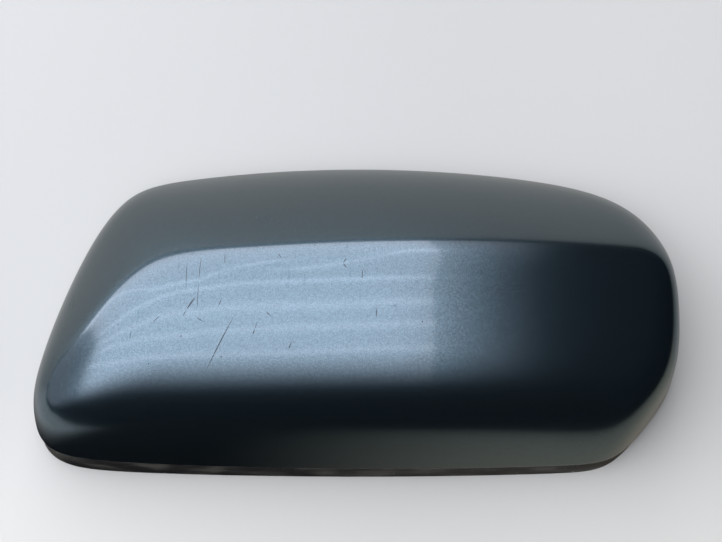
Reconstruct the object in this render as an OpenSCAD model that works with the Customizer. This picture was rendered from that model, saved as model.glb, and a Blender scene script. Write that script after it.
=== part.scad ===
// Cap of a car's wing mirror: one moulding, painted outside, lying on its rim.
// The rim's plane is z = 0 and +Z points to the crown of the back. X runs along the cap,
// with the end at the door at +X, and Y across it. The origin is under the middle of the cap.
//
// The outside is one smooth form: eight gently bowed sheets, each a wall or a slope, meet in
// creases that are rounded by a smooth maximum. A point is inside where the form's value is
// below zero, and the value is close to the distance from the skin, so the inside of the wall
// is the same form, set in by the wall's thickness.

/* [Back] */
// Height of the crown over the rim
crown_h = 60.3; // [54:0.1:66]
// Place of the crown along the cap
crown_x = -22; // [-28:0.5:-10]
// Place of the crown across the cap
crown_y = 14; // [11:0.5:16]
// Radius of the back along the cap
back_long_r = 540; // [440:10:800]
// Radius of the back across the cap
back_cross_r = 75.5; // [70:0.5:92]

/* [Upper side] */
// Angle of the slope between the back and the upper side
upper_slope = 37.5; // [35:0.5:41]
// Distance from the middle to the slope, at its height
upper_slope_reach = 21.7; // [19.5:0.1:23.5]
// Height at which that distance is taken
upper_slope_z = 49.1; // [47.5:0.1:50.5]
// Radius of the slope's bow along the cap
upper_slope_bow = 380; // [320:10:480]
// Angle of the upper side's wall
upper_wall_slope = 85; // [82:0.5:87]
// Distance from the middle to the wall's foot
upper_wall_reach = 73.6; // [71:0.1:76]
// Radius of the wall's bow along the cap
upper_wall_bow = 500; // [400:10:680]

/* [Outer end] */
// Angle of the slope at the outer end
outer_slope = 40; // [37:0.5:43]
// Distance from the middle to the slope, at its height
outer_slope_reach = 74.2; // [72:0.1:77]
// Height at which that distance is taken
outer_slope_z = 52; // [50:0.5:54]
// Direction that the slope faces
outer_slope_facing = 154; // [151:0.5:157]
// Radius of the slope's bow
outer_slope_bow = 375; // [285:10:500]
// Angle of the end's wall
outer_wall_slope = 86; // [83:0.5:88]
// Distance from the middle to the wall's foot
outer_wall_reach = 121.7; // [119:0.1:124]
// Direction that the wall faces
outer_wall_facing = 172.5; // [169.5:0.5:175.5]
// Radius of the wall's bow
outer_wall_bow = 226; // [190:2:290]

/* [Lower side] */
// Angle of the lower side's wall
lower_wall_slope = 77.7; // [75:0.1:81]
// Distance from the middle to the wall's foot
lower_wall_reach = 60.5; // [58.5:0.5:62.5]
// Radius of the wall's bow along the cap
lower_wall_bow = 2600; // [1600:100:4000]

/* [Door end] */
// Angle of the end's wall
door_wall_slope = 80.3; // [78.5:0.1:83.5]
// Distance from the middle to the wall's foot
door_wall_reach = 114; // [112:0.5:116.5]
// Radius of the end's bow
door_wall_bow = 150; // [130:2:190]
// Angle of the wall that is cut back for the mirror's arm
arm_wall_slope = 85; // [82:0.5:88]
// Distance from the middle to that wall's foot
arm_wall_reach = 101; // [98.5:0.5:103.5]
// Direction that the wall faces
arm_wall_facing = -44; // [-48:0.5:-41]
// Radius of that wall's bow
arm_wall_bow = 775; // [445:10:1305]

/* [Creases] */
// Width over which the back rounds into the upper slope
crease_upper = 8; // [6:0.5:12]
// Width over which the back rounds into the outer end
crease_outer = 20; // [15:1:25]
// Width over which the back rounds into the lower side
crease_lower = 32.7; // [28:0.1:38]
// Width over which the back rounds into the door end
crease_door = 12.2; // [9:0.1:16]
// Width over which the upper slope rounds into its wall
crease_upper_wall = 27; // [22:1:32]
// Width over which the outer end's slope rounds into its wall
crease_outer_wall = 14; // [11:1:18]
// Width of the corner between the upper side and the door end
corner_upper_door = 65; // [55:1:75]
// Width of the corner between the upper side and the outer end
corner_upper_outer = 25.5; // [20:0.5:33]
// Width of the corner between the lower side and the outer end
corner_lower_outer = 50; // [40:1:58]
// Width of the corner on each side of the wall for the arm
corner_arm = 14; // [10:1:20]

/* [Wall and rim] */
// Thickness of the moulded wall
wall = 2.5; // [2:0.1:3]
// Height of the unpainted lip under the paint's edge, at the outer end
lip_h_outer = 8.9; // [7.5:0.1:10.5]
// Height of the lip at the door end
lip_h_door = 6.4; // [5:0.1:8]
// Step from the painted skin in to the lip
lip_step = 0.7; // [0.5:0.1:1]

/* [Catch loops] */
// Length of a catch loop along the wall
loop_l = 15; // [12:0.5:18]
// How far a loop's plate stands in from the wall, at the loop's top
loop_stand = 2.5; // [2:0.25:4]
// Thickness of the loops
loop_t = 1.8; // [1.4:0.1:2.2]
// Height of a loop's lower edge over the rim
loop_z = 8; // [7:0.5:10]
// Height of a loop
loop_h = 12; // [10:0.5:13]
// Length of the window that the housing's hook snaps into
window_l = 8; // [6:0.5:8.5]
// Height of that window
window_h = 4.5; // [4:0.5:5]
// Distance between the loops of a long side
loop_pitch = 66; // [60:1:70]
// Place of the outer end's loop across the cap
outer_loop_y = 4; // [0:1:10]
// Place of the door end's loop across the cap
door_loop_y = 8; // [0:1:14]

/* [Locating pins] */
// Diameter of a locating pin
pin_d = 6; // [5:0.1:8]
// Free length of a pin under its post
pin_free = 9; // [6:0.5:12]
// Diameter of the post that carries a pin from the roof
post_d = 9; // [8.6:0.1:11]
// Height of a pin's end over the rim
pin_z = 20; // [16:0.5:24]
// Distance between the two pins
pin_pitch = 96; // [88:1:104]
// Chamfer round a pin's end
pin_chamfer = 0.8; // [0.5:0.1:1]
// Length of a gusset out from the pin's axis, at the roof
gusset_l = 11; // [9:0.5:14]

/* [Ribs] */
// Thickness of the ribs under the back
rib_t = 1.6; // [1.2:0.1:2]
// Depth of the ribs under the wall
rib_h = 4; // [3:0.5:6]
// Distance between the cross ribs
rib_pitch = 48; // [42:1:50]
// Distance from the middle to the long rib, which the pins stand on
rib_y = -4; // [-8:1:0]
// Half length of the long rib
long_rib_l = 84; // [76:1:90]
// Half length of a cross rib
cross_rib_l = 27; // [22:1:30]

/* [Hidden] */
paint = [0.42, 0.54, 0.62];

// Facets: rays around the cap, rings outside and inside, points along a web or rib
around = 96;
rings_out = 19;
rings_in = 12;
web_steps = 8;
round_fn = 48;

// Half sizes that the fan of rays is stretched to, so that its facets are alike in size
fan = [door_wall_reach, lower_wall_reach, crown_h];
// A ray's end, further out than any part of the skin
ray_far = 1.5 * fan.x;
// How closely a ray's length is worked out
near_enough = 0.0005;
// Width over which two corners of the outline run into each other
corner_join = 8;

// One sheet is [direction it faces, slope, reach, height, middle of its bow, bow radius,
// swell radius]. The bow is along the sheet, and the swell is up and down it.
no_swell = 1e6;
upper_sheet = [90, upper_slope, upper_slope_reach, upper_slope_z, -6.5, upper_slope_bow, 315];
upper_wall = [90, upper_wall_slope, upper_wall_reach, 0, 4, upper_wall_bow, no_swell];
outer_sheet =
    [outer_slope_facing, outer_slope, outer_slope_reach, outer_slope_z, 3.5, outer_slope_bow, 300];
outer_wall =
    [outer_wall_facing, outer_wall_slope, outer_wall_reach, 0, 39, outer_wall_bow, no_swell];
lower_wall = [271.5, lower_wall_slope, lower_wall_reach, 0, 0, lower_wall_bow, no_swell];
door_wall = [1, door_wall_slope, door_wall_reach, 0, 0, door_wall_bow, no_swell];
arm_wall = [arm_wall_facing, arm_wall_slope, arm_wall_reach, 0, 4, arm_wall_bow, no_swell];

// Value of one sheet at a point: about the distance from it, positive outside
function off_sheet(p, s) =
    let (
        out = p.x * cos(s[0]) + p.y * sin(s[0]) - s[2],
        along = p.y * cos(s[0]) - p.x * sin(s[0]) - s[4],
        up = p.z - s[3],
        down_slope = out * cos(s[1]) - up * sin(s[1])
    )
    (out + along * along / (2 * s[5])) * sin(s[1]) + up * cos(s[1])
        + down_slope * down_slope / (2 * s[6]);

// Value of the back, crowned both ways
function off_back(p) =
    let (
        dx = (p.x - crown_x) / back_long_r,
        dy = (p.y - crown_y) / back_cross_r,
        z = crown_h - (dx * dx * back_long_r + dy * dy * back_cross_r) / 2
    )
    (p.z - z) / sqrt(1 + dx * dx + dy * dy);

// Smooth maximum: two values meet in a crease that is rounded over the width k
function crease(a, b, k) =
    let (h = max(k - abs(a - b), 0) / k)
    max(a, b) + h * h * h * k / 6;

// Value of the whole outside at a point
function form(p) =
    let (
        upper = off_sheet(p, upper_wall),
        outer = off_sheet(p, outer_wall),
        lower = off_sheet(p, lower_wall),
        arm = off_sheet(p, arm_wall),
        door = crease(off_sheet(p, door_wall), arm, corner_arm),
        upper_side = crease(off_sheet(p, upper_sheet), upper, crease_upper_wall),
        outer_end = crease(off_sheet(p, outer_sheet), outer, crease_outer_wall),
        back = crease(crease(off_back(p), upper_side, crease_upper), outer_end, crease_outer),
        corners = [
            crease(upper, door, corner_upper_door),
            crease(outer, lower, corner_lower_outer),
            crease(upper, outer, corner_upper_outer),
            crease(lower, arm, corner_arm)],
        two = crease(corners[0], corners[1], corner_join),
        three = crease(two, corners[2], corner_join),
        walls = crease(three, corners[3], corner_join)
    )
    crease(crease(back, lower, crease_lower), walls, crease_door);

// Length of the ray from o along d to the skin, set in by inset. The bracket from a to b is
// closed by false position, and the end that stays put has its value halved.
function ray_length(o, d, inset, a, b, at_a, at_b) =
    let (
        t = (a * at_b - b * at_a) / (at_b - at_a),
        at_t = form(o + d * t) + inset
    )
    abs(at_t) < near_enough ? t
    : at_t * at_b < 0 ? ray_length(o, d, inset, b, t, at_b, at_t)
    : ray_length(o, d, inset, a, t, at_a / 2, at_t);
function skin_distance(o, d, inset) =
    ray_length(o, d, inset, 0, ray_far, form(o) + inset, form(o + d * ray_far) + inset);

// Direction k of the fan around the cap. The turns are closer at its four corners.
function turn(k) = let (t = 360 * k / around) t + 4 * sin(4 * t);
// Angle of ring r of n over the rim. The rings are closer at the rounded edge.
function lift(r, n) = 90 * r / n + 5 * sin(360 * r / n);
function fan_ray(t, l) =
    let (v = [fan.x * cos(t) * cos(l), fan.y * sin(t) * cos(l), fan.z * sin(l)])
    v / norm(v);
// Height of the lip's upper edge in direction t
function lip_h(t) = (lip_h_door + lip_h_outer) / 2 + (lip_h_door - lip_h_outer) / 2 * cos(t);

// A ring of points on the skin, set in by inset: level at the rim, level at the lip's upper
// edge when l is 0, and lifted from there by the angle l
function rim_ring(inset) = [for (k = [0:around - 1])
    let (d = fan_ray(turn(k), 0))
    d * skin_distance([0, 0, 0], d, inset)];
function skin_ring(l, inset) = [for (k = [0:around - 1])
    let (o = [0, 0, lip_h(turn(k))], d = fan_ray(turn(k), l))
    o + d * skin_distance(o, d, inset)];
function crown(inset) = [0, 0, skin_distance([0, 0, 0], [0, 0, 1], inset)];

// Middle of the cap's outline, which is moved to the origin
outline = concat(rim_ring(lip_step), skin_ring(0, 0));
function middle(i) = (max([for (p = outline) p[i]]) + min([for (p = outline) p[i]])) / 2;

// The wall: rings from the rim up the outside, the crown, and rings back down the inside
module shell() {
    outside = concat(
        [rim_ring(lip_step), skin_ring(0, lip_step)],
        [for (r = [0:rings_out - 1]) skin_ring(lift(r, rings_out), 0)]);
    inside = concat(
        [for (r = [rings_in - 1:-1:0]) skin_ring(lift(r, rings_in), wall)],
        [rim_ring(wall)]);
    crown_ring = len(outside) - 1;
    rings = concat(outside, inside);
    top = len(rings) * around;
    polyhedron(
        points = concat([for (ring = rings) each ring], [crown(0), crown(wall)]),
        faces = [for (r = [0:len(rings) - 1], k = [0:around - 1])
            let (
                next_r = (r + 1) % len(rings),
                next_k = (k + 1) % around,
                a = r * around + k,
                b = r * around + next_k,
                c = next_r * around + next_k,
                d = next_r * around + k
            )
            each r == crown_ring
                ? [[a, top, b], [d, c, top + 1]]
                : [[a, c, b], [a, d, c]]],
        convexity = 6
    );
}

// Stands a drawing up at a place: its X points to where it faces, its Y up, t thick
module upright(at, facing, t) {
    translate([at.x, at.y, 0])
        rotate([90, 0, facing])
            translate([0, 0, -t / 2])
                linear_extrude(t) children();
}

function toward(facing) = [cos(facing), sin(facing), 0];
function wall_at(at, facing, z, inset) =
    skin_distance([at.x, at.y, z], toward(facing), inset);

// Points at mid-wall, as [distance, height], from the loops' lower edge to their upper one
function wall_line(at, facing) = [for (i = [0:web_steps])
    let (z = loop_z + loop_h * i / web_steps)
    [wall_at(at, facing, z, wall / 2), z]];

// Points along the roof, as [distance, height], from a to b through a place, each lowered by
// the depths given for its ends and for its middle stretch
function roof_line(at, facing, a, b, end_depth, mid_depth) = [for (i = [0:web_steps])
    let (
        s = a + (b - a) * i / web_steps,
        p = [at.x, at.y, 0] + s * toward(facing),
        depth = i == 0 || i == web_steps ? end_depth : mid_depth
    )
    [s, skin_distance(p, [0, 0, 1], wall / 2) - depth]];

// Catch loop: two webs carry a plate with a window, into which the housing's hook snaps
module catch_loop(at, facing) {
    plate = wall_at(at, facing, loop_z + loop_h, wall) - loop_stand;
    for (side = [-1, 1]) {
        web_at = at + side * (loop_l - loop_t) / 2 * [-sin(facing), cos(facing)];
        upright(web_at, facing, loop_t)
            polygon(concat(
                wall_line(web_at, facing),
                [[plate - loop_t, loop_z + loop_h], [plate - loop_t, loop_z]]));
    }
    difference() {
        upright(at, facing, loop_l - loop_t)
            translate([plate - loop_t, loop_z]) square([loop_t, loop_h]);
        upright(at, facing, window_l)
            translate([plate - 2 * loop_t, loop_z + (loop_h - window_h) / 2])
                square([3 * loop_t, window_h]);
    }
}

// Thin rib under the back, which runs out into the wall at both ends
module rib(at, facing, half_l) {
    upright(at, facing, rib_t)
        polygon(concat(
            roof_line(at, facing, -half_l, half_l, 0, 0),
            roof_line(at, facing, half_l, -half_l, wall / 4, wall / 2 + rib_h)));
}

// Round pin that locates the cap in the housing, on a post with crossed gussets to the roof
module locating_pin(at) {
    r = pin_d / 2;
    post_z = pin_z + pin_free;
    roof = skin_distance([at.x, at.y, 0], [0, 0, 1], wall / 2);
    translate([at.x, at.y, pin_z]) {
        cylinder(h = pin_chamfer, r1 = r - pin_chamfer, r2 = r, $fn = round_fn);
        translate([0, 0, pin_chamfer])
            cylinder(h = pin_free - pin_chamfer, r = r, $fn = round_fn);
    }
    translate([at.x, at.y, post_z])
        cylinder(h = roof - post_z, d = post_d, $fn = round_fn);
    for (facing = [45, 135])
        upright(at, facing, rib_t)
            polygon(concat(
                roof_line(at, facing, -gusset_l, gusset_l, 0, 0),
                [[post_d / 4, post_z + rib_t], [-post_d / 4, post_z + rib_t]]));
}

module mirror_cap() {
    color(paint) translate([-middle(0), -middle(1), 0]) {
        shell();
        for (i = [-1, 0, 1], facing = [90, 270]) catch_loop([i * loop_pitch, 0], facing);
        catch_loop([0, outer_loop_y], 180);
        catch_loop([0, door_loop_y], 0);
        for (i = [-1.5:1.5]) rib([i * rib_pitch, 0], 90, cross_rib_l);
        rib([0, rib_y], 0, long_rib_l);
        for (side = [-1, 1]) locating_pin([side * pin_pitch / 2, rib_y]);
    }
}

mirror_cap();
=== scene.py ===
import math

import bpy
import numpy as np
from mathutils import Matrix, Vector


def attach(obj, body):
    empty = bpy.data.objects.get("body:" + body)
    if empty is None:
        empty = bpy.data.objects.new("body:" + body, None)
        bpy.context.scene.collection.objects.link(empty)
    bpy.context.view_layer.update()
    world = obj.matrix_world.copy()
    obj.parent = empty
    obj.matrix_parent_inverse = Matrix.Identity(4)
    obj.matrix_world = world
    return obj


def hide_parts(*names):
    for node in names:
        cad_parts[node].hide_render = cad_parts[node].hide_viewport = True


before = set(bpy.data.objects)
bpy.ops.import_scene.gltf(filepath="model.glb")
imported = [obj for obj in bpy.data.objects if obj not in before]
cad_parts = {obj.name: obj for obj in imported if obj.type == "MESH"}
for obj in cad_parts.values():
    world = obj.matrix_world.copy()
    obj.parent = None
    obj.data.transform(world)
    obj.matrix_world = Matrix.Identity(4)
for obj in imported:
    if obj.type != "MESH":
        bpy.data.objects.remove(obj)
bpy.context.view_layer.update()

bpy.ops.object.select_all(action="DESELECT")
bpy.context.tool_settings.mesh_select_mode = (False, False, True)

# Camera. It stands over the lower side of the cap and looks steeply down on it: the lengths and
# angles are those at which the modelled outline falls on the real one.
camera_aim = Vector((0.00007, 0.01069, 0.022))
camera_distance = 0.43334
camera_elevation = math.radians(69.25)
camera_azimuth = math.radians(2.9)
camera_roll = math.radians(-1.47)
sensor_width = 36.0
focal_in_widths = 1174 / 722

bpy.ops.object.camera_add()
camera = bpy.context.object
camera.name = "camera"
camera.data.sensor_width = sensor_width
camera.data.lens = sensor_width * focal_in_widths
turn_camera = (Matrix.Rotation(camera_azimuth, 4, "Z")
               @ Matrix.Rotation(math.pi / 2 - camera_elevation, 4, "X")
               @ Matrix.Rotation(camera_roll, 4, "Z"))
camera.matrix_world = (Matrix.Translation(camera_aim) @ turn_camera
                       @ Matrix.Translation((0, 0, camera_distance)))
bpy.context.scene.camera = camera
bpy.context.scene.view_settings.view_transform = "Standard"

# Cap. One moulding of thin plastic, sprayed outside and bare inside. Its back is a gently
# crowned sheet that meets the slopes and walls of its sides in rounded creases, and under the
# paint's edge a bare lip steps in, which seats in the mirror housing.
WALL = 0.0025
LIP_STEP = 0.0007
LIP_OUTER, LIP_DOOR = 0.0089, 0.0064
EDGE_R, RIM_R = 0.00045, 0.0003
SHARP = 0.00005
CROWN_H = 0.0603
CROWN = (-0.022, 0.014)
BACK_LONG_R, BACK_CROSS_R = 0.540, 0.0755
FAN = (0.114, 0.0605, CROWN_H)
SMOOTH_ANGLE = math.radians(40)

# Widths of the creases between the back and the sides, and of the corners between two walls
CREASE_UPPER, CREASE_OUTER, CREASE_LOWER, CREASE_DOOR = 0.008, 0.020, 0.0327, 0.0122
CREASE_UPPER_WALL, CREASE_OUTER_WALL = 0.027, 0.014
CORNER_UPPER_DOOR, CORNER_LOWER_OUTER = 0.065, 0.050
CORNER_UPPER_OUTER, CORNER_ARM, CORNER_JOIN = 0.0255, 0.014, 0.008


def sheet(facing, slope, reach, bow, height=0.0, middle=0.0, swell=1e3):
    """A bowed sheet, as a function that gives about how far points are outside it."""
    cos_f, sin_f = math.cos(math.radians(facing)), math.sin(math.radians(facing))
    cos_s, sin_s = math.cos(math.radians(slope)), math.sin(math.radians(slope))

    def off(x, y, z):
        out = x * cos_f + y * sin_f - reach
        along = y * cos_f - x * sin_f - middle
        up = z - height
        down_slope = out * cos_s - up * sin_s
        return ((out + along ** 2 / (2 * bow)) * sin_s + up * cos_s
                + down_slope ** 2 / (2 * swell))
    return off


upper_slope = sheet(90, slope=37.5, reach=0.0217, height=0.0491, middle=-0.0065,
                    bow=0.380, swell=0.315)
upper_wall = sheet(90, slope=85, reach=0.0736, middle=0.004, bow=0.500)
outer_slope = sheet(154, slope=40, reach=0.0742, height=0.052, middle=0.0035,
                    bow=0.375, swell=0.300)
outer_wall = sheet(172.5, slope=86, reach=0.1217, middle=0.039, bow=0.226)
lower_wall = sheet(271.5, slope=77.7, reach=0.0605, bow=2.600)
door_wall = sheet(1, slope=80.3, reach=0.114, bow=0.150)
arm_wall = sheet(-44, slope=85, reach=0.101, middle=0.004, bow=0.775)


def off_back(x, y, z):
    dx = (x - CROWN[0]) / BACK_LONG_R
    dy = (y - CROWN[1]) / BACK_CROSS_R
    back_z = CROWN_H - (dx ** 2 * BACK_LONG_R + dy ** 2 * BACK_CROSS_R) / 2
    return (z - back_z) / np.sqrt(1 + dx ** 2 + dy ** 2)


def crease(a, b, width):
    """Smooth maximum: two sheets meet in a crease that is rounded over the width."""
    h = np.maximum(width - np.abs(a - b), 0) / width
    return np.maximum(a, b) + h ** 3 * width / 6


def form(x, y, z):
    """About how far points are outside the cap."""
    upper, outer = upper_wall(x, y, z), outer_wall(x, y, z)
    lower, arm = lower_wall(x, y, z), arm_wall(x, y, z)
    door = crease(door_wall(x, y, z), arm, CORNER_ARM)
    upper_side = crease(upper_slope(x, y, z), upper, CREASE_UPPER_WALL)
    outer_end = crease(outer_slope(x, y, z), outer, CREASE_OUTER_WALL)
    back = crease(off_back(x, y, z), upper_side, CREASE_UPPER)
    back = crease(back, outer_end, CREASE_OUTER)
    walls = crease(crease(upper, door, CORNER_UPPER_DOOR),
                   crease(outer, lower, CORNER_LOWER_OUTER), CORNER_JOIN)
    walls = crease(walls, crease(upper, outer, CORNER_UPPER_OUTER), CORNER_JOIN)
    walls = crease(walls, crease(lower, arm, CORNER_ARM), CORNER_JOIN)
    return crease(crease(back, lower, CREASE_LOWER), walls, CREASE_DOOR)


def reach_skin(starts, rays, inset, halvings=34):
    """How far each ray runs from its start to the form, which is set in by inset."""
    near, far = np.zeros(len(rays)), np.full(len(rays), 1.5 * FAN[0])
    for _ in range(halvings):
        middle = (near + far) / 2
        inside = form(*(starts + rays * middle[:, None]).T) + inset < 0
        near = np.where(inside, middle, near)
        far = np.where(inside, far, middle)
    return near


def lip_height(turn):
    return (LIP_DOOR + LIP_OUTER) / 2 + (LIP_DOOR - LIP_OUTER) / 2 * np.cos(turn)


# Rings of the shell from the crown down the outside, round the lip and back up the inside,
# each as [lift, height over the lip's upper edge or over the rim, inset, is it over the rim].
# The rings are closest half-way up the sides, and the segments at the corners.
OUTSIDE, INSIDE, SEGMENTS = 128, 52, 400
RING_SHIFT, SEGMENT_SHIFT = 5, math.radians(4)


def ring_lift(u):
    return math.radians(90 * u + RING_SHIFT * math.sin(2 * math.pi * u))


quarter = [math.radians(a) for a in (0, 22.5, 45, 67.5, 90)]
rings = [(math.pi / 2, EDGE_R, 0, False)]
rings += [(ring_lift(1 - r / OUTSIDE), EDGE_R, 0, False) for r in range(1, OUTSIDE)]
rings += [(0, EDGE_R * (1 - math.sin(a)), EDGE_R * (1 - math.cos(a)), False) for a in quarter]
last_painted = len(rings) - 1
rings += [(0, 0, LIP_STEP - SHARP, False), (0, 0, LIP_STEP, False), (0, -SHARP, LIP_STEP, False)]
rings += [(0, RIM_R * (1 - math.sin(a)), LIP_STEP + RIM_R * (1 - math.cos(a)), True)
          for a in quarter]
last_on_lip = len(rings) - 3
rings += [(0, RIM_R * (1 - math.cos(a)), WALL - RIM_R * (1 - math.sin(a)), True)
          for a in quarter]
rings += [(ring_lift(r / INSIDE), 0, WALL, False) for r in range(INSIDE + 1)]

# A ball is the start: its upper half becomes the outside, and its lower half is folded up
# into it as the inside
bpy.ops.mesh.primitive_uv_sphere_add(segments=SEGMENTS, ring_count=len(rings) - 1, radius=1)
shell = bpy.context.object
shell.name = "cap_shell"
ball = np.empty(len(shell.data.vertices) * 3)
shell.data.vertices.foreach_get("co", ball)
ball = ball.reshape(-1, 3)
angle = np.arctan2(ball[:, 1], ball[:, 0])
turn = angle + SEGMENT_SHIFT * np.sin(4 * angle)
ring = np.rint(np.arccos(np.clip(ball[:, 2], -1, 1)) / math.pi * (len(rings) - 1)).astype(int)
lift, over, inset, at_rim = np.array(rings, dtype=float)[ring].T
starts = np.zeros_like(ball)
starts[:, 2] = np.where(at_rim > 0, 0, lip_height(turn)) + over
rays = np.stack([FAN[0] * np.cos(turn) * np.cos(lift), FAN[1] * np.sin(turn) * np.cos(lift),
                 FAN[2] * np.sin(lift)], axis=-1)
rays /= np.linalg.norm(rays, axis=-1, keepdims=True)
points = starts + rays * reach_skin(starts, rays, inset)[:, None]
centre = (points.max(axis=0) + points.min(axis=0)) / 2
centre[2] = 0
shell.data.vertices.foreach_set("co", (points - centre).ravel())

# Height over the paint's edge, and the lip's outer face, for wear, a painted highlight and painted
# shade that follow them, and the bare faces
for name, value in (("edge_height", points[:, 2] - lip_height(turn)),
                    ("on_lip", (ring >= last_painted) & (ring <= last_on_lip))):
    follow = shell.data.attributes.new(name, "FLOAT", "POINT")
    follow.data.foreach_set("value", value.astype(np.float32))
is_bare = [min(ring[v] for v in face.vertices) >= last_painted for face in shell.data.polygons]
shell.data.polygons.foreach_set("material_index", np.array(is_bare, dtype=np.int32))
shell.data.update()
bpy.ops.object.shade_smooth_by_angle(angle=SMOOTH_ANGLE)
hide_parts("mirror_cap")
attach(shell, "root")


class Value:
    """A shader socket that can be used in an expression."""

    def __init__(self, tree, socket):
        self.tree, self.socket = tree, socket

    def node(self, kind, inputs=(), out=0, **settings):
        """Adds a node, sets it up, and gives one of its outputs."""
        new = self.tree.nodes.new(kind)
        for key, value in settings.items():
            setattr(new, key, value)
        for key, value in dict(inputs).items():
            if isinstance(value, Value):
                self.tree.links.new(value.socket, new.inputs[key])
            else:
                new.inputs[key].default_value = value
        return Value(self.tree, new.outputs[out])

    def math(self, operation, *others):
        return self.node("ShaderNodeMath", dict(enumerate((self,) + others)), operation=operation)

    def __add__(self, other): return self.math("ADD", other)
    def __radd__(self, other): return self.math("ADD", other)
    def __sub__(self, other): return self.math("SUBTRACT", other)
    def __rsub__(self, other): return self.math("MULTIPLY_ADD", -1.0, other)
    def __mul__(self, other): return self.math("MULTIPLY", other)
    def __rmul__(self, other): return self.math("MULTIPLY", other)
    def __abs__(self): return self.math("ABSOLUTE")

    def at_least(self, other): return self.math("MAXIMUM", other)
    def at_most(self, other): return self.math("MINIMUM", other)

    def between(self, low, high, shape="SMOOTHSTEP"):
        """0 at low and 1 at high, and no less or more beyond them."""
        return self.node("ShaderNodeMapRange", {"Value": self, "From Min": low, "From Max": high},
                         interpolation_type=shape)

    def ramp(self, low, high):
        """The same in a straight line."""
        return self.between(low, high, "LINEAR")

    def stroke(self, start, end, width):
        """1 inside a stroke that tapers to its ends, which are given as seen from above."""
        (x0, y0), (x1, y1) = start, end
        local = self.node("ShaderNodeMapping", {
            "Vector": self, "Location": ((x0 + x1) / 2000, (y0 + y1) / 2000, 0),
            "Rotation": (0, 0, math.atan2(y1 - y0, x1 - x0)),
            "Scale": (max(math.hypot(x1 - x0, y1 - y0), width) / 2000, width / 2000, 1e3)},
            vector_type="TEXTURE")
        away = local.node("ShaderNodeVectorMath", {0: local}, out=1, operation="LENGTH")
        return away.between(1.0, 0.45)

    def noise(self, scale, detail=2.0, roughness=0.5, stretch=(1, 1, 1)):
        place = self.node("ShaderNodeMapping", {"Vector": self, "Scale": stretch})
        return self.node("ShaderNodeTexNoise", {"Vector": place, "Scale": scale,
                                                "Detail": detail, "Roughness": roughness})

    def axes(self):
        """The three numbers of a place."""
        split = self.node("ShaderNodeSeparateXYZ", {"Vector": self}).socket.node
        return [Value(self.tree, split.outputs[i]) for i in range(3)]

    def follow(self, name):
        """A number that the mesh carries under this name."""
        return self.node("ShaderNodeAttribute", out=2, attribute_name=name)

    def mix(self, low, high):
        """The colour low where this is 0, and high where it is 1."""
        low, high = (c if isinstance(c, Value) else tuple(c) + (1,) for c in (low, high))
        return self.node("ShaderNodeMix", {0: self, 6: low, 7: high}, out=2, data_type="RGBA")

    def bump(self, depth):
        """A normal from this height, which runs from 0 to 1 and is depth metres at 1."""
        return self.node("ShaderNodeBump", {"Height": self, "Distance": depth, "Strength": 1.0})


def new_material(name):
    material = bpy.data.materials.new(name)
    material.use_nodes = True
    shader = material.node_tree.nodes["Principled BSDF"]
    start_node = material.node_tree.nodes.new("ShaderNodeTexCoord")
    place = Value(material.node_tree, start_node.outputs["Object"])
    return material, shader, place


def feed(shader, **values):
    """Sets the shader's sockets, by name with underscores, to numbers or values."""
    for key, value in values.items():
        socket = shader.inputs[key.replace("_", " ")]
        if isinstance(value, Value):
            value.tree.links.new(value.socket, socket)
        else:
            socket.default_value = value


# Paint. Blue-grey metallic lacquer: fine aluminium flake under a hard clear coat, which has a
# faint orange peel. A few scratches and chips go through the coat, and hairlines dull it. Along
# the paint's edge a light band is painted, partly wear and partly a painted highlight of the
# rounded edge.
paint, paint_shader, place = new_material("metallic_paint")
lacquer_dark, lacquer_bright = (0.058, 0.096, 0.115), (0.106, 0.166, 0.192)
# The light grey of the edge band is partly worn paint and partly a painted highlight
cut_colour, edge_wear_and_highlight_colour = (0.012, 0.020, 0.025), (0.16, 0.17, 0.17)
flake = place.noise(2500, 1, roughness=0.8)
mottle = place.noise(900, 2)
peel = place.noise(230, 2, stretch=(0.6, 1, 1))
peel_depth = 0.00001
colour = (mottle * 0.25 + flake * 0.75).between(0.3, 0.7).mix(lacquer_dark, lacquer_bright)

# Start and end of each scratch in millimetres, and its width, and the middle of each chip
scratches = [
    ((-40.6, -17.2), (-51.6, -37.0), 0.42), ((-54.5, -12.3), (-57.8, -16.8), 0.7),
    ((-57.6, -16.6), (-59.0, -19.0), 0.3), ((-58.7, 1.2), (-58.0, -11.2), 0.3),
    ((-53.9, 2.2), (-53.8, -7.3), 0.33), ((-53.8, -6.5), (-54.0, -17.8), 0.22),
    ((-45.6, -13.0), (-46.9, -15.9), 0.3), ((-34.3, -22.7), (-35.1, -24.6), 0.45),
    ((-33.4, -20.0), (-34.4, -23.0), 0.2), ((-21.9, -26.3), (-22.9, -28.9), 0.4),
    ((1.3, -2.5), (1.3, -6.1), 0.3), ((-4.1, 1.5), (-5.4, -0.5), 0.4),
    ((-5.4, -0.5), (-4.0, -2.3), 0.4), ((6.4, -15.2), (6.2, -18.4), 0.3),
    ((-46.0, 4.6), (-45.2, -2.0), 0.25), ((-27.6, 3.3), (-26.0, 0.7), 0.3),
    ((-76.8, -22.6), (-77.2, -26.1), 0.3), ((-69.4, -20.7), (-66.7, -18.2), 0.3),
    ((-54.3, -19.1), (-51.5, -20.6), 0.3), ((-31.0, -17.0), (-28.6, -18.9), 0.3)]
chips = [(-37.4, 22.6), (-15.3, 6.9), (-57.2, 6.3), (-81.7, -20.3), (-59.3, -25.0),
         (-70.5, -33.4), (21.7, -18.9), (-45.6, -31.3)]
chip_width = 0.55
cut = place.stroke(*scratches[0])
for start, end, width in scratches[1:] + [(chip, chip, chip_width) for chip in chips]:
    cut = cut.at_least(place.stroke(start, end, width))
cut = cut * place.noise(900, 1).between(0.2, 0.45)

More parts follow.
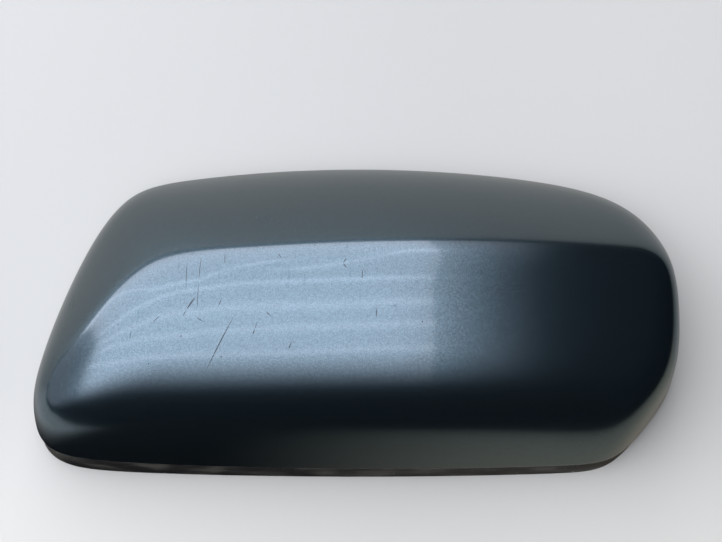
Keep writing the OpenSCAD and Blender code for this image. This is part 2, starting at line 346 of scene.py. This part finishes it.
# Hairlines run across and along in patches, on the outer part of the back
hairlines = place.noise(900, 1, stretch=(1, 0.09, 0.5)).between(0.66, 0.76)
hairlines = hairlines.at_least(place.noise(800, 1, stretch=(0.12, 1, 0.5)).between(0.68, 0.78))
hairlines = hairlines * place.noise(60, 1).between(0.45, 0.65) * place.axes()[0].between(0.06, 0.02)

# A light band along the paint's edge: partly wear, partly a painted highlight of the rounded edge
edge_wear_and_highlight = (place.follow("edge_height") + place.noise(260, 2) * 0.0006).between(0.00075, 0.0005)
cut_and_edge_band = cut.at_least(edge_wear_and_highlight)
colour = edge_wear_and_highlight.mix(cut.mix(colour, cut_colour), edge_wear_and_highlight_colour)
feed(paint_shader, Base_Color=colour, Metallic=0.96 - cut_and_edge_band * 0.9,
     Roughness=0.21 + cut_and_edge_band * 0.3 + hairlines * 0.04,
     Coat_Weight=1 - cut_and_edge_band * 0.9 - hairlines * 0.4, Coat_Roughness=0.05,
     Normal=(peel - cut * 2).bump(peel_depth))
shell.data.materials.append(paint)

# Bare plastic of the lip and the inside: black, matt from the tool's texture. The lip, which rubs
# in the housing, is scuffed grey in patches and dusted with overspray under the paint. Just under
# the paint's edge the scuffs are left out, which keeps a dark line there: painted shade under the
# ledge.
bare, bare_shader, place = new_material("bare_plastic")
plastic_dark, plastic_pale = (0.010, 0.010, 0.010), (0.022, 0.022, 0.020)
scuff_colour, overspray_colour = (0.068, 0.066, 0.055), (0.28, 0.29, 0.27)
grain_depth = 0.00003
height, on_lip = place.follow("edge_height"), place.follow("on_lip")
scuff = place.noise(110, 4, stretch=(0.6, 0.6, 2.2)).between(0.40, 0.68) * on_lip
overspray = place.noise(1500, 1).between(0.74, 0.78) * on_lip
# Painted shade: a dark line just under the paint's edge, where no scuff is drawn
shade_under_edge = height.between(-0.0016, -0.0008) * height.between(0.0, -0.0008)
colour = place.noise(90, 2).mix(plastic_dark, plastic_pale)
colour = (scuff * (1 - shade_under_edge)).mix(colour, scuff_colour)
colour = overspray.mix(colour, overspray_colour)
feed(bare_shader, Base_Color=colour, Roughness=0.42 + scuff * 0.2, Specular_IOR_Level=0.25,
     Normal=place.noise(2400, 2).bump(grain_depth))
shell.data.materials.append(bare)

# Catch loops. Eight brackets, moulded on to the wall over the lip: two webs carry a plate
# with a window, which a hook of the housing catches in.
loop_l, loop_stand, loop_t = 0.015, 0.0025, 0.0018
loop_z, loop_h = 0.008, 0.012
window_l, window_h = 0.008, 0.0045
loop_pitch, outer_loop_y, door_loop_y = 0.066, 0.004, 0.008
loop_edge_r, web_steps = 0.00025, 12
UP = np.array([0.0, 0.0, 1.0])


def toward(facing):
    return np.array([math.cos(math.radians(facing)), math.sin(math.radians(facing)), 0.0])


def web(near, far, thickness):
    """A web: a sheet between two rows of places, given its thickness."""
    steps = len(near) - 1
    bpy.ops.mesh.primitive_grid_add(x_subdivisions=steps, y_subdivisions=1, size=1)
    piece = bpy.context.object
    for vertex in piece.data.vertices:
        row = far if vertex.co.y > 0 else near
        vertex.co = row[round((vertex.co.x + 0.5) * steps)] - centre
    solidify = piece.modifiers.new("thickness", "SOLIDIFY")
    solidify.thickness, solidify.offset = thickness, 0
    bpy.ops.object.modifier_apply(modifier=solidify.name)
    return piece


def pick_faces(piece, wanted):
    """Goes into edit mode with those faces selected whose normals pass the test."""
    bpy.ops.object.mode_set(mode="EDIT")
    bpy.ops.mesh.select_all(action="DESELECT")
    bpy.ops.object.mode_set(mode="OBJECT")
    for face in piece.data.polygons:
        face.select = wanted(face.normal)
    bpy.ops.object.mode_set(mode="EDIT")


def finish(piece, edge_r, name):
    """Rounds a bare piece's edges, and makes it ride with the cap."""
    bpy.context.view_layer.objects.active = piece
    bevel = piece.modifiers.new("edges", "BEVEL")
    bevel.width, bevel.segments, bevel.angle_limit = edge_r, 2, math.radians(30)
    bpy.ops.object.modifier_apply(modifier=bevel.name)
    bpy.ops.object.shade_smooth_by_angle(angle=SMOOTH_ANGLE)
    piece.name = name
    piece.data.materials.append(bare)
    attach(piece, "root")


def catch_loop(at, facing, name):
    out, across = toward(facing), toward(facing + 90)
    top = at + (loop_z + loop_h) * UP
    plate_at = reach_skin(top[None], out[None], WALL)[0] - loop_stand - loop_t / 2
    heights = np.linspace(loop_z, loop_z + loop_h, web_steps + 1)
    webs = []
    for side in (-1, 1):
        column = at + side * (loop_l - loop_t) / 2 * across + heights[:, None] * UP
        reaches = reach_skin(column, np.tile(out, (len(column), 1)), WALL / 2)
        webs.append(web(column + out * plate_at, column + out * reaches[:, None], loop_t))
    bpy.ops.mesh.primitive_cube_add(size=1)
    plate = bpy.context.object
    for vertex in plate.data.vertices:
        vertex.co = Vector((vertex.co.x * loop_t, vertex.co.y * loop_l, vertex.co.z * loop_h))
    pick_faces(plate, lambda normal: abs(normal.x) > 0.5)
    margin = (loop_l - window_l) / 2
    bpy.ops.mesh.inset(thickness=margin)
    bpy.ops.transform.resize(value=(1, 1, window_h / (loop_h - 2 * margin)))
    bpy.ops.mesh.bridge_edge_loops()
    bpy.ops.object.mode_set(mode="OBJECT")
    plate_centre = at + out * plate_at + (loop_z + loop_h / 2) * UP - centre
    plate.data.transform(Matrix.Translation(Vector(plate_centre))
                         @ Matrix.Rotation(math.radians(facing), 4, "Z"))
    for part in webs:
        part.select_set(True)
    bpy.ops.object.join()
    finish(plate, loop_edge_r, name)


for i in (-1, 0, 1):
    catch_loop(np.array([i * loop_pitch, 0, 0]), 90, f"catch_loop_upper_{i + 2}")
    catch_loop(np.array([i * loop_pitch, 0, 0]), 270, f"catch_loop_lower_{i + 2}")
catch_loop(np.array([0, outer_loop_y, 0]), 180, "catch_loop_outer")
catch_loop(np.array([0, door_loop_y, 0]), 0, "catch_loop_door")

# Ribs. Thin webs under the back, one along it and four across, which keep it from drumming.
# They are moulded with it, and run out at their ends.
rib_t, rib_h, rib_pitch, rib_y = 0.0016, 0.004, 0.048, -0.004
long_rib_l, cross_rib_l = 0.084, 0.027
rib_step, rib_edge_r, run_out = 0.0015, 0.0003, 0.8


def roof(line):
    """Heights at mid-wall under the back, over a line of places."""
    return reach_skin(line, np.tile(UP, (len(line), 1)), WALL / 2)


def rib(at, facing, half_l, name):
    distances = np.linspace(-half_l, half_l, round(half_l / rib_step))
    line = at + distances[:, None] * toward(facing)
    high = roof(line)
    depth = np.minimum(WALL / 4 + (half_l - np.abs(distances)) * run_out, WALL / 2 + rib_h)
    finish(web(line + (high - depth)[:, None] * UP, line + high[:, None] * UP, rib_t),
           rib_edge_r, name)


for i in range(4):
    rib(np.array([(i - 1.5) * rib_pitch, 0, 0]), 90, cross_rib_l, f"rib_across_{i + 1}")
rib(np.array([0, rib_y, 0]), 0, long_rib_l, "rib_along")

# Locating pins. Two round pins with chamfered ends, each on a thicker post with crossed
# gussets, place the cap in sockets of the housing.
pin_r, pin_free, post_r, pin_z = 0.003, 0.009, 0.0045, 0.020
pin_pitch, pin_chamfer, pin_edge_r = 0.096, 0.0008, 0.0002
gusset_l, gusset_steps = 0.011, 22

for i, side in enumerate((-1, 1)):
    at = np.array([side * pin_pitch / 2, rib_y, 0])
    post_z = pin_z + pin_free
    top = roof(at[None])[0]
    bpy.ops.mesh.primitive_cylinder_add(vertices=48, radius=post_r, depth=top - post_z)
    pin = bpy.context.object
    pin.data.transform(Matrix.Translation(Vector(at - centre + (top + post_z) / 2 * UP)))
    pick_faces(pin, lambda normal: normal.z < -0.9)
    bpy.ops.mesh.inset(thickness=post_r - pin_r)
    for down in (pin_free - pin_chamfer, pin_chamfer):
        bpy.ops.mesh.extrude_region_move(TRANSFORM_OT_translate={"value": (0, 0, -down)})
    bpy.ops.transform.resize(value=((pin_r - pin_chamfer) / pin_r,) * 2 + (1,))
    bpy.ops.object.mode_set(mode="OBJECT")
    finish(pin, pin_edge_r, f"locating_pin_{i + 1}")
    for facing in (45, 135):
        distances = np.linspace(-gusset_l, gusset_l, gusset_steps + 1)
        line = at + distances[:, None] * toward(facing)
        high = roof(line)
        slant = np.clip((np.abs(distances) - post_r / 2) / (gusset_l - post_r / 2), 0, 1)
        low = (post_z + rib_t) * (1 - slant) + (high - WALL / 4) * slant
        finish(web(line + low[:, None] * UP, line + high[:, None] * UP, rib_t),
               pin_edge_r, f"gusset_{i + 1}_{facing}")

# Floor. Plain, pale and matt, and the cap lies on it. Its own colour is painted paler and warmer
# to the right and in front, as painted light. In the lacquer it is seen darker, as painted shade:
# a painted shadow in front of the cap, where the lower side mirrors its own shadow, and painted
# shade at the left and behind. Far off, where the light doesn't reach, it stays pale to the eye.
floor_size, floor_z = 40, -0.0002
pale_cool, pale_warm_painted_light = (0.462, 0.472, 0.428), (0.585, 0.588, 0.515)
# Colours of the floor in the lacquer: a painted shadow in front, painted shade at the left and
# behind
in_shadow, in_front = (0.004, 0.004, 0.004), (0.30, 0.275, 0.20)
at_left, behind = (0.36, 0.36, 0.32), (0.225, 0.228, 0.20)
unlit, pale_to_eye = (0, 0, 0), (0.72, 0.73, 0.74)
bpy.ops.mesh.primitive_plane_add(size=floor_size, location=(0, 0, floor_z))
floor = bpy.context.object
floor.name = "floor"
floor_material, floor_shader, place = new_material("floor_white")
x, y = place.axes()[:2]
# Painted light: the floor's own colour is paler and warmer to the right and in front
pale = (x.between(0.0, 0.17) * 0.4 + y.between(-0.02, -0.09) * 0.6).mix(pale_cool, pale_warm_painted_light)
# Painted shade in the lacquer, darkest just in front of the cap's lower side
mirrored = (x.between(-0.06, 0.09) * y.between(-0.25, -0.055)).mix(in_shadow, in_front)
mirrored = (x.between(-0.117, -0.155) * (x - y).between(0.08, -0.02)).mix(mirrored, at_left)
mirrored = y.between(-0.055, -0.01).mix(mirrored, behind)
in_paint = place.node("ShaderNodeLightPath", out="Is Glossy Ray")
far = (x * x + y * y).between(0.25, 2.4) * place.node("ShaderNodeLightPath", out="Is Camera Ray")
feed(floor_shader, Base_Color=in_paint.mix(pale, mirrored), Roughness=0.6,
     Specular_IOR_Level=0.0, Emission_Color=far.mix(unlit, pale_to_eye), Emission_Strength=1.0)
floor.data.materials.append(floor_material)

# Light. A pale sheet, bent over the cap like half a pipe, glows softly, more so in its folds.
# It stops short of the door end, so that end and the lower side mirror the dark beyond it. The
# glow is drawn over the sheet's length, x, and its pitch, the angle round the pipe in degrees.
PIPE_R = 1.2
PIPE_X = (-20, 0.65)
PIPE_ANGLE = (2, 168)
GLOW, FOLD_GLOW = 2.5, 1.5
glow_colour = (1.0, 1.0, 1.15)
bpy.ops.mesh.primitive_grid_add(x_subdivisions=12, y_subdivisions=48, size=1)
pipe = bpy.context.object
pipe.name = "soft_light"
for vertex in pipe.data.vertices:
    turn_up = math.radians(PIPE_ANGLE[0] + (PIPE_ANGLE[1] - PIPE_ANGLE[0]) * (vertex.co.y + 0.5))
    vertex.co = Vector((PIPE_X[0] + (PIPE_X[1] - PIPE_X[0]) * (vertex.co.x + 0.5),
                        PIPE_R * math.cos(turn_up), PIPE_R * math.sin(turn_up)))
pipe_material, pipe_shader, place = new_material("soft_light")
x, y, z = place.axes()
pitch = z.math("ARCTAN2", y) * math.degrees(1)

# The core has two edges. Beside it the glow is weaker, and both fade at the front and the back.
right_edge = 0.255 - (pitch - 100) * (pitch - 100) * 0.000016
left_edge = (pitch - 48).at_least(0.0) * 0.0195 - 2.85
past_right, past_left = x - right_edge, (x - left_edge).between(-0.35, 0.1)
core = past_right.between(0.012, -0.012) * past_left
beside = past_right.between(0.32, -0.05) * (past_left * 0.22 + 0.2)
fade = (pitch.between(3, 5)
        * (pitch + x * 9 + (x + 0.8).at_most(0.0) * 14).between(154, 125))

# Folds: four long ones, and two that run aslant, each by the pitch that it passes through and
# its half width
wrinkle = (place.noise(1.2, 1) - 0.5) * 8
long_fold = pitch + wrinkle + x * 10 - (x + 0.45).at_most(0.0) * 24
folds = [(abs(long_fold - middle), half) for middle, half in
         ((88, 3.6), (103.8, 2.9), (114.6, 2.4), (128, 2.6))]
aslant = (x.ramp(-2.18, -1.32) * 54 + x.ramp(-1.32, -0.58) * 12 - x.ramp(-0.58, -0.19) * 36 + 10)
folds.append((abs(pitch + wrinkle - aslant) + x.between(-0.25, -0.10) * 9, 5))
aslant = 68 - x.ramp(-0.11, 0) * 17 - x.ramp(0, 0.09) * 25
folds.append((abs(pitch + wrinkle - aslant) + x.between(-0.10, -0.25) * 9, 7))
softness = 1.3
fold = folds[0][0].between(folds[0][1] * softness, 0)
for away, half in folds[1:]:
    fold = fold.at_least(away.between(half * softness, 0))
fold = fold * (place.noise(3, 1) * 0.8 + 0.5)
level = (core.at_least(beside) + core * fold * (FOLD_GLOW - 1)) * fade
feed(pipe_shader, Base_Color=unlit + (1,), Roughness=1.0, Specular_IOR_Level=0.0,
     Emission_Color=(level * (1 / FOLD_GLOW)).mix(unlit, glow_colour),
     Emission_Strength=GLOW * FOLD_GLOW)
pipe.data.materials.append(pipe_material)
pipe.visible_camera = False

# Surroundings. Pale to the eye and nearly dark to all else, so the sheet gives all the light
# and the lacquer's dark parts stay dark.
world = bpy.data.worlds.new("studio")
bpy.context.scene.world = world
world.use_nodes = True
background = world.node_tree.nodes["Background"]
dim = (0.003, 0.006, 0.010)
to_eye = Value(world.node_tree, None).node("ShaderNodeLightPath", out="Is Camera Ray")
world.node_tree.links.new(to_eye.mix(dim, pale_to_eye).socket, background.inputs["Color"])
background.inputs["Strength"].default_value = 1.0
